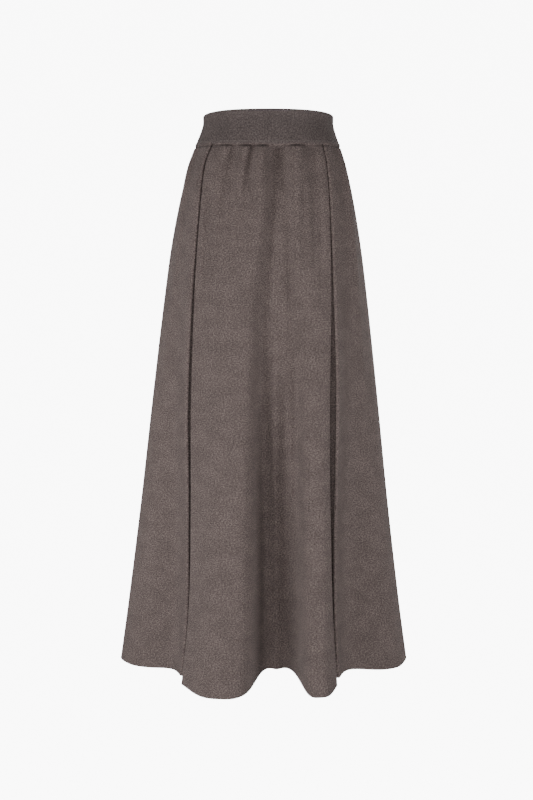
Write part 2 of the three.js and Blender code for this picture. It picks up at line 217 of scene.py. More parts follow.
GATHER_DEPTH = 1.9  # the real cloth gathers deeper than the plain model shows
SEAM_GROOVE, GROOVE_BELOW, GROOVE_WIDE = 2.5, 3.8, 2.3  # the cloth sinks in just below the seam
# The shares of a panel's width, at its start and at its end, over which its folds fade out
FADE = {"centre": (0, 0), "left": (0.12, 0.14), "right": (0.12, 0.14), "back": (0.08, 0.08)}
SEAM_DIP_SHARE = 0.12  # the band is higher in front and behind, and rows level out below it
print("folds:", {piece: sum(len(rows) for rows in kinds.values()) for piece, kinds in FOLDS.items()})

# %% [markdown]
# Reading the tables
# A few small functions turn the tables into curves. value_at runs a smooth curve through a column,
# so that no level of the skirt shows a corner, and bump gives a fold its soft flanks.


# %% Curves through the tables
def smooth(start, end, x):
    """0 before start, 1 after end, and a soft step between them."""
    t = np.clip((x - start) / (end - start), 0, 1)
    return t * t * (3 - 2 * t)


def lerp(a, b, t):
    return a + (b - a) * t


def bump(distance, wide, power=FOLD_POWER):
    """A fold's rise beside its middle line: the higher the power, the steeper its flanks."""
    return np.exp(-((np.abs(distance) / wide) ** power))


def value_at(columns, name, down):
    """A column's value at a level, on a cubic curve through its rows."""
    x, y = columns["down"], columns[name]
    before = np.maximum(np.arange(len(x)) - 1, 0)
    after = np.minimum(np.arange(len(x)) + 1, len(x) - 1)
    slope = (y[after] - y[before]) / (x[after] - x[before])
    i = np.clip(np.searchsorted(x, down, side="right"), 1, len(x) - 1)
    span = x[i] - x[i - 1]
    t = np.clip((down - x[i - 1]) / span, 0, 1)
    rise = 3 * t**2 - 2 * t**3
    leave, arrive = t**3 - 2 * t**2 + t, t**3 - t**2
    return y[i - 1] + (y[i] - y[i - 1]) * rise + span * (leave * slope[i - 1] + arrive * slope[i])


def outline(name, down):
    return value_at(OUTLINE, name, down)


def down_share(down):
    return np.clip((down - BAND_SIDE) / (SKIRT_LENGTH - BAND_SIDE), 0, 1)


def growing(size, down):
    """A size that grows from the band's seam to the hem."""
    return lerp(size[0], size[1], down_share(down))


def half_width(across, down):
    return np.where(across < 0, outline("left", down), outline("right", down))


def reach_at(angle, wide, deep, square):
    """How far the outline lies from the middle, at an angle from the front."""
    across, forwards = np.abs(np.sin(angle) / wide), np.abs(np.cos(angle) / deep)
    return (across**square + forwards**square) ** (-1 / square)


print("half width at the hem:", outline("left", SKIRT_LENGTH), outline("right", SKIRT_LENGTH))


# %% [markdown]
# The folds at one level
# A fold is worked out in millimetres across the cloth, so it keeps its width while the panel grows
# wider below it. The flares are the plain model's own, which is why the two fit each other. The
# gathers are deeper here, and the creases and the groove under the band are added.


# %% How far the folds push the cloth out
def pushed_out(piece, share, width, down):
    """What all of a piece's folds add at shares of its width, at one level."""
    out = np.zeros_like(share)
    rows = FOLDS[piece]
    for at_top, at_hem, wide_top, wide_hem, deep, starts, growth, hem_power in rows["flares"]:
        t = np.clip((down - starts) / (SKIRT_LENGTH - starts), 0, 1)
        distance = (share - lerp(at_top, at_hem, t)) * width
        power = lerp(FOLD_POWER, hem_power, math.sqrt(t))
        out += deep * t**growth * bump(distance, lerp(wide_top, wide_hem, t), power)
    for at_top, at_end, wide, deep, ends in rows["gathers"]:
        t = np.clip((down - BAND_SIDE) / (ends - BAND_SIDE), 0, 1)
        drawn_in = smooth(LIP, GATHER_RISE, down - BAND_SIDE)
        distance = (share - lerp(at_top, at_end, t)) * width
        size = GATHER_DEPTH * deep * drawn_in * (1 - smooth(0, 1, t))
        out += size * bump(distance, wide * (1 + t))
    for at_top, at_end, wide, deep, starts, ends in rows["creases"]:
        t = np.clip((down - starts) / (ends - starts), 0, 1)
        distance = (share - lerp(at_top, at_end, t)) * width
        out += deep * math.sin(math.pi * t) ** 2 * bump(distance, wide)
    out -= SEAM_GROOVE * bump(down - BAND_SIDE - GROOVE_BELOW, GROOVE_WIDE)
    fade_start, fade_end = FADE[piece]
    if fade_start:
        out *= smooth(0, fade_start, share) * smooth(1, 1 - fade_end, share)
    return out


SAMPLES = 420
SHARES = np.linspace(0, 1, SAMPLES + 1)
print("highest lobe at the hem:", round(pushed_out("centre", SHARES, 240.0, SKIRT_LENGTH).max(), 1))


# %% [markdown]
# The panels at one level
# Each function returns one level of a panel as a row of points: x, y, and how far folds push it.
# The last number is kept because the hem hangs lower where it stands out.


# %% One level of each panel
def pleat_edges(name, down):
    """Where the centre's and the side's fold edges lie."""
    pleat = PLEATS[name]
    line = value_at(PLEAT_LINES, name, max(down, PLEAT_LINES["down"][0]))
    opening = pleat["open_by"] * math.exp(-(((down - pleat["open_at"]) / pleat["spread"]) ** 2))
    gap = lerp(pleat["closed"], pleat["hem"], smooth(OVERLAP_STARTS, SKIRT_LENGTH, down)) + opening
    centre = gap / 2 + growing(FOLD_RADIUS["centre"], down) + CLOTH / 2
    side = gap / 2 + growing(FOLD_RADIUS["side"], down) + CLOTH / 2
    return line - pleat["side"] * centre, line + pleat["side"] * side


def centre_level(down):
    x0, x1 = pleat_edges("left", down)[0], pleat_edges("right", down)[0]
    x = lerp(x0, x1, SHARES)
    square = outline("square", down)
    depth = outline("front", down) * (1 - np.abs(x / half_width(x, down)) ** square) ** (1 / square)
    out = pushed_out("centre", SHARES, x1 - x0, down)
    return np.stack([x, -depth - out, out], 1)


def side_level(name, down):
    """A side front from its fold edge, which is lifted to meet the centre front's, to the side seam."""
    pleat = PLEATS[name]
    x0 = pleat_edges(name, down)[1]
    wide, deep, square = half_width(x0, down), outline("side", down), outline("square", down)
    centre_edge = -centre_level(down)[0 if pleat["side"] < 0 else -1][1]
    y0 = deep * (1 - abs(x0 / wide) ** square) ** (1 / square)
    lift = centre_edge - pleat["step"] * smooth(STEP_STARTS, SKIRT_LENGTH, down) - y0
    angle = lerp(math.atan2(abs(x0), y0), math.pi / 2, SHARES)
    out = pushed_out(name, SHARES, wide - abs(x0) + deep, down)
    reach = reach_at(angle, wide, deep, square) + out
    x = pleat["side"] * reach * np.sin(angle)
    lifted = lift * bump(x - x0, growing(LIFT_REACH, down), growing(LIFT_POWER, down))
    return np.stack([x, -reach * np.cos(angle) - lifted, out], 1)


def back_level(down):
    """The back, from the left side seam to the right one."""
    angle = lerp(1.5 * math.pi, 0.5 * math.pi, SHARES)
    deep = outline("back", down)
    out = pushed_out("back", SHARES, outline("left", down) + outline("right", down) + deep, down)
    reach = reach_at(angle, half_width(np.sin(angle), down), deep, outline("square", down)) + out
    return np.stack([reach * np.sin(angle), -reach * np.cos(angle), out], 1)


print("centre front at the hem:", round(float(np.ptp(centre_level(SKIRT_LENGTH)[:, 0])), 1), "mm wide")


# %% [markdown]
# Fold edges, returns and seam allowances
# At a pleat the cloth turns round a soft fold and runs back behind itself. At a side seam it turns
# in by a quarter turn, and the short allowance that stands inside keeps the seam from gaping.
# evenly spaces points along a path, so that the folds get as many points as the flat parts do.


# %% Fold edges and seam allowances
def along(path):
    return np.concatenate([[0], np.cumsum(np.hypot(*np.diff(path[:, :2], axis=0).T))])


def evenly(path, count, trim_start=0.0, trim_end=0.0):
    length = along(path)
    wanted = np.linspace(trim_start, length[-1] - trim_end, count + 1)
    return np.stack([np.interp(wanted, length, path[:, k]) for k in range(path.shape[1])], 1)


def directions(path):
    """The unit direction of travel at each point, and the direction to its right."""
    step = np.gradient(path[:, :2], axis=0)
    step /= np.linalg.norm(step, axis=1)[:, None]
    return step, np.stack([step[:, 1], -step[:, 0]], 1)


def fold_and_return(piece, path, down, inwards, fold_steps, return_steps):
    """The cloth that turns back behind a path's end. inwards is 1 if its inside is on the right."""
    radius = growing(FOLD_RADIUS[piece], down)
    ahead, right = directions(path)
    angle = np.pi * np.arange(1, fold_steps + 1)[:, None] / fold_steps
    turn = radius * (np.sin(angle) * ahead[-1] + (1 - np.cos(angle)) * inwards * right[-1])
    fold = np.column_stack([path[-1, :2] + turn, np.full(fold_steps, path[-1, 2])])
    beyond = along(path)[-1] - growing(PLEAT_DEPTH, down)
    strip = evenly(path[::-1], return_steps, 0, beyond)
    spread = 2 * radius + growing(RETURN_SPREAD, down) * np.linspace(0, 1, return_steps + 1)
    turned = strip.copy()
    turned[:, :2] -= directions(strip)[1] * spread[:, None] * inwards
    return np.vstack([fold, turned[1:]])


ALLOWANCE = 5.0
TURN_RADIUS = 1.2
TURN_TRIM = SEAM_GAP / 2 + CLOTH / 2 + TURN_RADIUS


def turned_in(path, inwards, turn_steps=4, allowance_steps=2):
    """The quarter turn and the allowance inside the skirt, at the end of a path."""
    ahead, right = directions(path)
    angle = (np.pi / 2) * np.arange(1, turn_steps + 1)[:, None] / turn_steps
    turn = TURN_RADIUS * (np.sin(angle) * ahead[-1] + (1 - np.cos(angle)) * inwards * right[-1])
    more = ALLOWANCE * np.arange(1, allowance_steps + 1)[:, None] / allowance_steps
    flat = turn[-1] + more * inwards * right[-1]
    added = np.vstack([turn, flat]) + path[-1, :2]
    return np.column_stack([added, np.full(len(added), path[-1, 2])])


print("side seam allowance:", ALLOWANCE, "mm, turned in at", round(TURN_TRIM, 2), "mm from the seam")

# %% [markdown]
# Whole panels
# A panel is the same stack of levels for every piece: its outer face, then what turns in at each
# end. All columns run from left to right as seen from outside, so that one rule gives the outside.

# %% Each panel's whole section
COLUMNS = {"centre": 150, "side": 70, "back": 166, "fold": 8, "return": 8, "underlay": 24}


def centre_panel(down):
    path = centre_level(down)
    right = fold_and_return("centre", path, down, -1, COLUMNS["fold"], COLUMNS["return"])
    left = fold_and_return("centre", path[::-1], down, 1, COLUMNS["fold"], COLUMNS["return"])
    return np.vstack([left[::-1], evenly(path, COLUMNS["centre"]), right])


def side_panel(name):
    inwards = -1 if name == "left" else 1

    def section(down):
        path = side_level(name, down)
        outer = evenly(path, COLUMNS["side"], 0, TURN_TRIM)
        edge = fold_and_return("side", path[::-1], down, inwards, COLUMNS["fold"], COLUMNS["return"])
        whole = np.vstack([edge[::-1], outer, turned_in(outer, -inwards)])
        return whole[::-1] if name == "left" else whole

    return section


def back_panel(down):
    outer = evenly(back_level(down), COLUMNS["back"], TURN_TRIM, TURN_TRIM)
    whole = np.vstack([turned_in(outer[::-1], -1)[::-1], outer, turned_in(outer, 1)])
    return whole[::-1]


def underlay(name):
    """The strip behind a pleat, from the end of one return to the end of the other."""
    left = name == "left"
    behind = CLOTH + SEAM_GAP

    def seam(path, sign):
        ahead, right = directions(path)
        inside = right[0] * sign
        return path[0, :2] + inside * behind, ahead[0], inside, path[0, 2]

    def section(down):
        centre, side = centre_panel(down), side_panel(name)(down)
        from_centre, from_side = (centre, side[::-1]) if left else (centre[::-1], side)
        inwards = 1 if left else -1
        bulge = lerp(*UNDERLAY_BULGE, smooth(0, UNDERLAY_BULGE_FROM, down_share(down)))
        lead = growing(PLEAT_DEPTH, down) * UNDERLAY_LEAD
        (a, ahead_a, in_a, out_a) = seam(from_centre, inwards)
        (b, ahead_b, in_b, out_b) = seam(from_side, -inwards)
        p, q = a + ahead_a * lead + in_a * bulge, b + ahead_b * lead + in_b * bulge
        t = SHARES[:, None]
        curve = (1 - t) ** 3 * a + 3 * (1 - t) ** 2 * t * p + 3 * (1 - t) * t**2 * q + t**3 * b
        points = evenly(np.column_stack([curve, lerp(out_a, out_b, SHARES)]), COLUMNS["underlay"])
        return points[::-1] if left else points

    return section


PANELS = {
    "front_centre": centre_panel,
    "front_side_left": side_panel("left"),
    "front_side_right": side_panel("right"),
    "back": back_panel,
    "pleat_underlay_left": underlay("left"),
    "pleat_underlay_right": underlay("right"),
}
for name, section in PANELS.items():
    widths = [along(section(level))[-1] for level in (BAND_SIDE + SEAM_GAP, SKIRT_LENGTH)]
    print(f"{name}: {widths[0]:.0f} mm wide at the band, {widths[1]:.0f} mm at the hem")

# %% [markdown]
# From a grid of points to a wall of cloth
# Cloth has two faces and an edge. Solidify would give that too, but a wall made here follows the
# plain model's own rule, keeps its cut edges level, and can grow thicker at the hem, where the real
# skirt has a firm turned edge. The rows lie closer together at the top, where the groove is. The UV
# map holds real metres across and down the cloth, so that every stitch and fleck in the material
# has its true size on every panel.

# %% The wall of a panel
ROWS = 240
SEAM_ROWS, SEAM_SHARE = 12, 0.014  # rows close together, for the groove below the band
HEM_ROUND = 4
HEM_EDGE, HEM_THICKER = 3.2, 1.22


def panel_grid(section):
    """The middle of a panel's wall, as rows of points, and how far down each row lies."""
    near_seam = np.linspace(0, SEAM_SHARE, SEAM_ROWS)
    below = np.linspace(SEAM_SHARE, 1, ROWS - SEAM_ROWS)
    grid = []
    for t in np.union1d(near_seam, below):
        down = lerp(BAND_SIDE + SEAM_GAP, SKIRT_LENGTH, t)
        x, y, out = section(down).T
        facing = (y / np.hypot(x, y)) ** 2
        dip = (BAND_FRONT - BAND_SIDE) * facing * (1 - smooth(0, SEAM_DIP_SHARE, t))
        grid.append(np.stack([x, y, -(down + dip + out * HEM_DROP_SHARE * t * t)], 1))
    return np.array(grid)


def grid_normals(grid):
    """Outward unit normals, level at the first and last row."""
    normal = np.cross(np.gradient(grid, axis=0), np.gradient(grid, axis=1))
    normal[[0, -1], :, 2] = 0
    return normal / np.linalg.norm(normal, axis=2)[:, :, None]


def grid_uv(grid):
    """Metres across from the panel's middle column, and metres down."""
    step = np.linalg.norm(np.diff(grid[:, :, :2], axis=1), axis=2)
    across = np.concatenate([np.zeros((len(grid), 1)), np.cumsum(step, axis=1)], 1)
    across -= across[:, [grid.shape[1] // 2]]
    return np.stack([across, grid[:, :, 2]], 2) * MM


def mesh_object(name, points, faces, uv):
    """A smooth mesh object from points in millimetres and one UV for each point."""
    mesh = bpy.data.meshes.new(name)
    mesh.from_pydata((points * MM).tolist(), [], faces)
    corners = np.empty(len(mesh.loops), np.int32)
    mesh.loops.foreach_get("vertex_index", corners)
    layer = mesh.uv_layers.new(name="cloth")
    layer.data.foreach_set("uv", uv[corners].astype(np.float32).ravel())
    mesh.shade_smooth()
    mesh.set_sharp_from_angle(angle=math.radians(65))
    made = bpy.data.objects.new(name, mesh)
    bpy.context.scene.collection.objects.link(made)
    return made


def cloth_wall(name, grid):
    """A closed wall round a grid, with a round, slightly thicker hem."""
    normal, uv = grid_normals(grid), grid_uv(grid)
    rows, width = grid.shape[:2]
    to_hem = grid[-1, :, 2] - grid[:, :, 2]
    half = CLOTH / 2 * lerp(HEM_THICKER, 1, smooth(0, HEM_EDGE, -to_hem))[:, :, None]
    outer, inner = grid + normal * half, grid - normal * half
    angle = np.pi * np.arange(1, HEM_ROUND)[:, None, None] / HEM_ROUND
    downwards = np.array([0, 0, -1])
    edge = grid[-1] + half[-1] * (np.cos(angle) * normal[-1] + np.sin(angle) * downwards)
    points = np.concatenate([outer, edge, inner[::-1]])
    uvs = np.concatenate([uv, np.repeat(uv[-1:], HEM_ROUND - 1, 0), uv[::-1]])
    count = len(points)
    at = np.arange(count * width).reshape(count, width)
    after = np.roll(at, -1, axis=0)
    faces = np.stack([at[:, :-1], after[:, :-1], after[:, 1:], at[:, 1:]], -1).reshape(-1, 4).tolist()
    for column, order in ((0, 1), (width - 1, -1)):
        points_down = at[:, column].tolist()
        for r in range(rows - 1):
            face = [points_down[k] for k in (r, count - 1 - r, count - 2 - r, r + 1)]
            faces.append(face[::order])
        face = [points_down[rows - 1]] + points_down[rows : count - rows + 1][::-1]
        faces.append(face[::order])
    return mesh_object(name, points.reshape(-1, 3), faces, uvs.reshape(-1, 2))


GRIDS = {name: panel_grid(section) for name, section in PANELS.items()}
CLOTH_PIECES = {name: cloth_wall(f"skirt_{name}", grid) for name, grid in GRIDS.items()}
for name, piece in CLOTH_PIECES.items():
    print(f"{piece.name}: {len(piece.data.polygons)} faces")

# %% [markdown]
# The waistband
# The band is rib knit folded double over a wide elastic. Its ribs stand up from the cloth, and the
# top edge is the round fold of the two layers. The lower edge hangs a little over the cloth that is
# sewn to it, and it puckers where the elastic pulls the seam together. It is swept round the waist
# from one profile. The ribs are real relief, because they catch the light from close by.

# %% The waistband's profile and ribs
RIBS = 282
RIB_DEPTH = 0.17
LIP_THICK, LIP_ROUND = 1.0, 0.35
LIP_WAVE, LIP_WAVE_LENGTH = 0.22, 9.0  # how the lip's drop varies round the band
TOP_STEPS, FACE_STEPS, INSIDE_STEPS = 8, 15, 6
HALF_BAND = BAND_THICK / 2


def band_profile():
    """The profile's points: share of the way down, how far out, extra drop, and how much rib."""
    profile = [(1, HALF_BAND - LIP_ROUND, LIP, 0.6), (1, HALF_BAND, LIP * 0.55, 1)]
    profile += [(1 - i / FACE_STEPS, HALF_BAND, 0, 1) for i in range(FACE_STEPS + 1)]
    for i in range(1, TOP_STEPS):
        angle = math.pi * i / TOP_STEPS
        profile.append((0, HALF_BAND * math.cos(angle), -HALF_BAND * math.sin(angle), 1))
    profile += [(i / INSIDE_STEPS, -HALF_BAND, 0, 1) for i in range(INSIDE_STEPS + 1)]
    under_lip = HALF_BAND - LIP_THICK
    profile += [(1, 0, 0.05, 0), (1, under_lip, 0.05, 0), (1, under_lip, LIP * 0.8, 0)]
    return np.array(profile, float)


# Puckers along the seam: how far round from the centre front, half width, and height, in mm
PUCKERS = [
    (-88, 6, 0.5), (-71, 7, 0.9), (-60, 4, 0.5), (-47, 6, 1.1), (-36, 5, 0.6), (-24, 5, 0.9),
    (-9, 6, 0.6), (6, 4, 0.8), (19, 6, 0.5), (33, 6, 1.0), (44, 4, 0.6), (60, 6, 0.8),
    (72, 5, 1.1), (86, 6, 0.6), (112, 8, 0.7), (141, 7, 0.9), (170, 9, 0.6), (196, 6, 1.0),
    (221, 7, 0.6), (243, 6, 0.9), (262, 5, 0.5), (281, 8, 1.0), (306, 6, 0.7), (329, 7, 0.9),
    (351, 6, 0.6), (-112, 8, 0.8), (-139, 6, 0.6), (-166, 8, 0.9), (-190, 6, 0.6), (-217, 7, 1.0),
    (-240, 6, 0.6), (-266, 8, 0.9), (-292, 6, 0.7), (-318, 6, 0.9), (-341, 5, 0.5),
]
PUCKER_HEIGHT = 8.0
PUCKER_OUT, PUCKER_DOWN, SEAM_SINK = 0.75, 0.35, 0.2


def band_angles(count):
    """Angles from the centre front that are evenly far apart round the band, and their distances."""
    dense = np.linspace(-math.pi, math.pi, 4001)
    level = (BAND_FRONT + BAND_SIDE) / 4
    deep = np.where(np.cos(dense) > 0, outline("front", level), outline("back", level))
    reach = reach_at(dense, half_width(np.sin(dense), level), deep, outline("square", level))
    length = along(np.stack([reach * np.sin(dense), -reach * np.cos(dense)], 1))
    around = np.linspace(0, length[-1], count + 1)[:-1]
    return np.interp(around, length, dense), around - length[-1] / 2, length[-1]


def pucker_at(around):
    return sum(high * bump(around - at, wide) for at, wide, high in PUCKERS)


def band_points(angle, around, profile, rib):
    """The band's points for every angle and every point of the profile."""
    share, out, drop, ribbed = (profile[:, k][None, :] for k in range(4))
    angle, pucker = angle[:, None], pucker_at(around)[:, None]
    height = lerp(BAND_SIDE, BAND_FRONT, np.cos(angle) ** 2)
    down = HALF_BAND + share * (height - HALF_BAND)
    deep = np.where(np.cos(angle) > 0, outline("front", down), outline("back", down))
    reach = reach_at(angle, half_width(np.sin(angle), down), deep, outline("square", down))
    above_seam = (1 - share) * (height - HALF_BAND)
    near_seam = (1 - smooth(0, PUCKER_HEIGHT, above_seam)) * (out > 0)
    reach = reach + out + RIB_DEPTH * rib[:, None] * ribbed * np.sign(out)
    reach = reach + near_seam * (pucker * PUCKER_OUT - SEAM_SINK)
    wave = 1 + LIP_WAVE * np.sin(around / LIP_WAVE_LENGTH)[:, None] * (share == 1)
    drop = drop * wave - near_seam * pucker * PUCKER_DOWN
    return np.stack([reach * np.sin(angle), -reach * np.cos(angle), -(down + drop)], -1)


PROFILE = band_profile()
band_angle, band_around, band_length = band_angles(RIBS * 4)
rib_wave = np.cos(np.arange(RIBS * 4) * math.pi / 2)
band_grid = band_points(band_angle, band_around, PROFILE, rib_wave)
print(f"the band is {band_length:.0f} mm round, with {RIBS} ribs {band_length / RIBS:.2f} mm apart")

# %% The waistband's mesh
turns, steps = band_grid.shape[:2]
at = np.arange(turns * steps).reshape(turns, steps)
round_on, profile_on = np.roll(at, -1, axis=0), np.roll(at, -1, axis=1)
band_faces = np.stack([at, round_on, np.roll(round_on, -1, axis=1), profile_on], -1).reshape(-1, 4)
band_down = np.cumsum(np.hypot(*np.diff(band_grid[0, :, 1:], axis=0, prepend=band_grid[0, :1, 1:]).T))
band_uv = np.stack(np.broadcast_arrays(band_around[:, None], band_down[None, :]), -1) * MM
band_points_flat, band_uv_flat = band_grid.reshape(-1, 3), band_uv.reshape(-1, 2)
waistband = mesh_object("skirt_waistband", band_points_flat, band_faces.tolist(), band_uv_flat)
print(f"{waistband.name}: {len(waistband.data.polygons)} faces")

# %% [markdown]
# Linking stitches along the seam
# The panels are linked to the band loop by loop, one loop for each rib, and the loops show as small
# light ticks just above the seam: their yarn is coloured lighter, a painted highlight. The same small
# thing hundreds of times along a path is what Geometry Nodes do best: one short bowed piece of
# yarn is copied to points along the seam, and its size and lean vary a little with a fixed seed.

# %% The stitch path and its node tree
STITCH_ABOVE = 1.5


def socket(tree, label, kind, value=None, out=False):
    made = tree.interface.new_socket(label, in_out="OUTPUT" if out else "INPUT", socket_type=kind)
    if value is not None:
        made.default_value = value
    return made.identifier


def add(tree, kind, inputs=None, **settings):
    """A node with its settings made and its inputs linked to sockets or set to values."""
    made = tree.nodes.new(kind)
    made.location = (len(tree.nodes) % 8 * 190, -(len(tree.nodes) // 8) * 260)
    for key, value in settings.items():
        setattr(made, key, value)
    for key, value in (inputs or {}).items():
        if isinstance(value, bpy.types.NodeSocket):
            tree.links.new(value, made.inputs[key])
        else:
            made.inputs[key].default_value = value
    return made


def stitch_tree():
    """Stitches of bowed yarn along a path, with their sizes as inputs."""
    tree = bpy.data.node_groups.new("linking_stitches", "GeometryNodeTree")
    ids = {"Path": socket(tree, "Path", "NodeSocketGeometry")}
    for label, value in (("Spacing", 0.0025), ("Length", 0.003), ("Bow", 0.0005), ("Yarn", 0.0004)):
        ids[label] = socket(tree, label, "NodeSocketFloat", value)
    ids["Lean"] = socket(tree, "Lean", "NodeSocketFloat", 0.25)
    ids["Seed"] = socket(tree, "Seed", "NodeSocketInt", 1)
    ids["Material"] = socket(tree, "Material", "NodeSocketMaterial")
    socket(tree, "Stitches", "NodeSocketGeometry", out=True)
    given = tree.nodes.new("NodeGroupInput").outputs

    def random_value(least, most, seed):
        wanted = {"Min": least, "Max": most, "Seed": seed}
        return add(tree, "FunctionNodeRandomValue", wanted, data_type="FLOAT").outputs["Value"]

    half = add(tree, "ShaderNodeMath", {0: given["Length"], 1: 0.5}, operation="MULTIPLY").outputs[0]
    below = add(tree, "ShaderNodeMath", {0: half, 1: -1.0}, operation="MULTIPLY").outputs[0]
    top = add(tree, "ShaderNodeCombineXYZ", {"Z": half}).outputs[0]
    foot = add(tree, "ShaderNodeCombineXYZ", {"Z": below}).outputs[0]
    middle = add(tree, "ShaderNodeCombineXYZ", {"Y": given["Bow"]}).outputs[0]
    bowed = {"Resolution": 5, "Start": foot, "Middle": middle, "End": top}
    arc = add(tree, "GeometryNodeCurveQuadraticBezier", bowed).outputs[0]
    round_yarn = {"Resolution": 6, "Radius": given["Yarn"]}
    ring = add(tree, "GeometryNodeCurvePrimitiveCircle", round_yarn).outputs[0]
    swept = {"Curve": arc, "Profile Curve": ring, "Fill Caps": True}
    stitch = add(tree, "GeometryNodeCurveToMesh", swept).outputs[0]

    path = add(tree, "GeometryNodeMeshToCurve", {"Mesh": given["Path"]}).outputs[0]
    spacing = {"Curve": path, "Length": given["Spacing"]}
    spaced = add(tree, "GeometryNodeResampleCurve", spacing, mode="LENGTH").outputs[0]
    tangent = add(tree, "GeometryNodeInputTangent").outputs[0]
    along_path = add(
        tree, "FunctionNodeAlignRotationToVector", {"Vector": tangent}, axis="X", pivot_axis="Z"
    ).outputs[0]
    least = add(tree, "ShaderNodeMath", {0: given["Lean"], 1: 0.55}, operation="MULTIPLY").outputs[0]
    lean = random_value(least, given["Lean"], given["Seed"])
    lean_turn = add(tree, "ShaderNodeCombineXYZ", {"Y": lean}).outputs[0]
    leaning = {"Rotation": along_path, "Rotate By": lean_turn}
    turned = add(tree, "FunctionNodeRotateRotation", leaning, rotation_space="LOCAL").outputs[0]
    more_seed = add(tree, "ShaderNodeMath", {0: given["Seed"], 1: 7.0}, operation="ADD").outputs[0]
    size = random_value(0.8, 1.2, more_seed)
    scale = add(tree, "ShaderNodeCombineXYZ", {"X": size, "Y": size, "Z": size}).outputs[0]
    copies = {"Points": spaced, "Instance": stitch, "Rotation": turned, "Scale": scale}
    placed = add(tree, "GeometryNodeInstanceOnPoints", copies).outputs[0]
    real = add(tree, "GeometryNodeRealizeInstances", {"Geometry": placed}).outputs[0]
    colouring = {"Geometry": real, "Material": given["Material"]}
    dyed = add(tree, "GeometryNodeSetMaterial", colouring).outputs[0]
    end = tree.nodes.new("NodeGroupOutput")
    tree.links.new(dyed, end.inputs[0])
    return tree, ids


def plain_copy(name, source):
    """The evaluated result of an object's modifiers as a plain mesh object; the source is removed."""
    evaluated = source.evaluated_get(bpy.context.evaluated_depsgraph_get())
    made = bpy.data.objects.new(name, bpy.data.meshes.new_from_object(evaluated))
    bpy.context.scene.collection.objects.link(made)
    bpy.data.objects.remove(source)
    return made


STITCHES, STITCH_IDS = stitch_tree()
print("inputs of the stitch tree:", ", ".join(STITCH_IDS))

# %% [markdown]
# Melange yarn and knit loops
# Up close the cloth is a grey-brown melange: fibres of several tones spun into one yarn, then knit
# so finely that the loops barely show. The tone varies in short flecks. An image would tile and
# blur, so the yarn is built from noise in the cloth's own metres, and the loops from plain
# arithmetic: each wale is two slanted legs side by side. Two groups are shared by all the
# materials, and each material gives them its own sizes and tones.


# %% Node groups for yarn and loops
def maths(tree, operation, a, b=0.0):
    return add(tree, "ShaderNodeMath", {0: a, 1: b}, operation=operation).outputs[0]


def remap(tree, value, low, high, start=0.0, end=1.0):
    """A value mapped from low..high to start..end, softly and within bounds."""
    ranges = {"Value": value, "From Min": low, "From Max": high, "To Min": start, "To Max": end}
    return add(tree, "ShaderNodeMapRange", ranges, interpolation_type="SMOOTHSTEP").outputs[0]


def mix(tree, share, a, b, blend="MIX"):
    made = add(tree, "ShaderNodeMix", {0: share, 6: a, 7: b}, data_type="RGBA", blend_type=blend)
    return made.outputs[2]


def shaded(tree, colour, tone):
    """A colour times a grey tone."""
    grey = add(tree, "ShaderNodeCombineColor", {0: tone, 1: tone, 2: tone}).outputs[0]
    return mix(tree, 1.0, colour, grey, "MULTIPLY")


def melange_group():
    """Yarn of mixed fibres: a colour, and how far each fleck stands out."""
    tree = bpy.data.node_groups.new("melange_yarn", "ShaderNodeTree")
    socket(tree, "Cloth", "NodeSocketVector")
    socket(tree, "Yarn", "NodeSocketColor", (0.14, 0.11, 0.1, 1))
    socket(tree, "Dark Fibre", "NodeSocketColor", (0.05, 0.04, 0.035, 1))
    socket(tree, "Light Fibre", "NodeSocketColor", (0.3, 0.26, 0.24, 1))
    socket(tree, "Fleck Length", "NodeSocketFloat", 0.003)
    socket(tree, "Fleck Height", "NodeSocketFloat", 0.002)
    socket(tree, "Contrast", "NodeSocketFloat", 0.5)
    socket(tree, "Cloudiness", "NodeSocketFloat", 0.2)
    socket(tree, "Color", "NodeSocketColor", out=True)
    socket(tree, "Fleck", "NodeSocketFloat", out=True)
    given = tree.nodes.new("NodeGroupInput").outputs
    fleck_size = add(
        tree, "ShaderNodeCombineXYZ", {"X": given["Fleck Length"], "Y": given["Fleck Height"], "Z": 1.0}
    ).outputs[0]
    flecks = add(
        tree, "ShaderNodeVectorMath", {0: given["Cloth"], 1: fleck_size}, operation="DIVIDE"
    ).outputs[0]

    def noise(scale, detail, offset):
        place = add(tree, "ShaderNodeVectorMath", {0: flecks, 1: offset}, operation="ADD").outputs[0]
        wanted = {"Vector": place, "Scale": scale, "Detail": detail, "Roughness": 0.6}
        return add(tree, "ShaderNodeTexNoise", wanted, noise_dimensions="2D").outputs[0]

    broad = noise(0.6, 2.0, (0, 0, 0))
    fine = noise(1.9, 1.0, (31, 17, 0))
    dark = maths(tree, "MULTIPLY", remap(tree, broad, 0.5, 0.66), given["Contrast"])
    light = maths(tree, "MULTIPLY", remap(tree, broad, 0.5, 0.34), given["Contrast"])
    fine_light = maths(tree, "MULTIPLY", remap(tree, fine, 0.53, 0.72), given["Contrast"])
    fine_dark = maths(tree, "MULTIPLY", remap(tree, fine, 0.47, 0.3), given["Contrast"])
    colour = mix(tree, dark, given["Yarn"], given["Dark Fibre"])
    colour = mix(tree, light, colour, given["Light Fibre"])
    colour = mix(tree, fine_light, colour, given["Light Fibre"])
    colour = mix(tree, fine_dark, colour, given["Dark Fibre"])
    cloud = noise(0.045, 2.0, (7, 3, 0))
    half_cloud = maths(tree, "MULTIPLY", given["Cloudiness"], 0.5)
    brightest = maths(tree, "ADD", 1.0, half_cloud)
    darkest = maths(tree, "SUBTRACT", 1.0, half_cloud)
    colour = shaded(tree, colour, remap(tree, cloud, 0.3, 0.7, darkest, brightest))
    end = tree.nodes.new("NodeGroupOutput")
    tree.links.new(colour, end.inputs["Color"])
    tree.links.new(fine, end.inputs["Fleck"])
    return tree


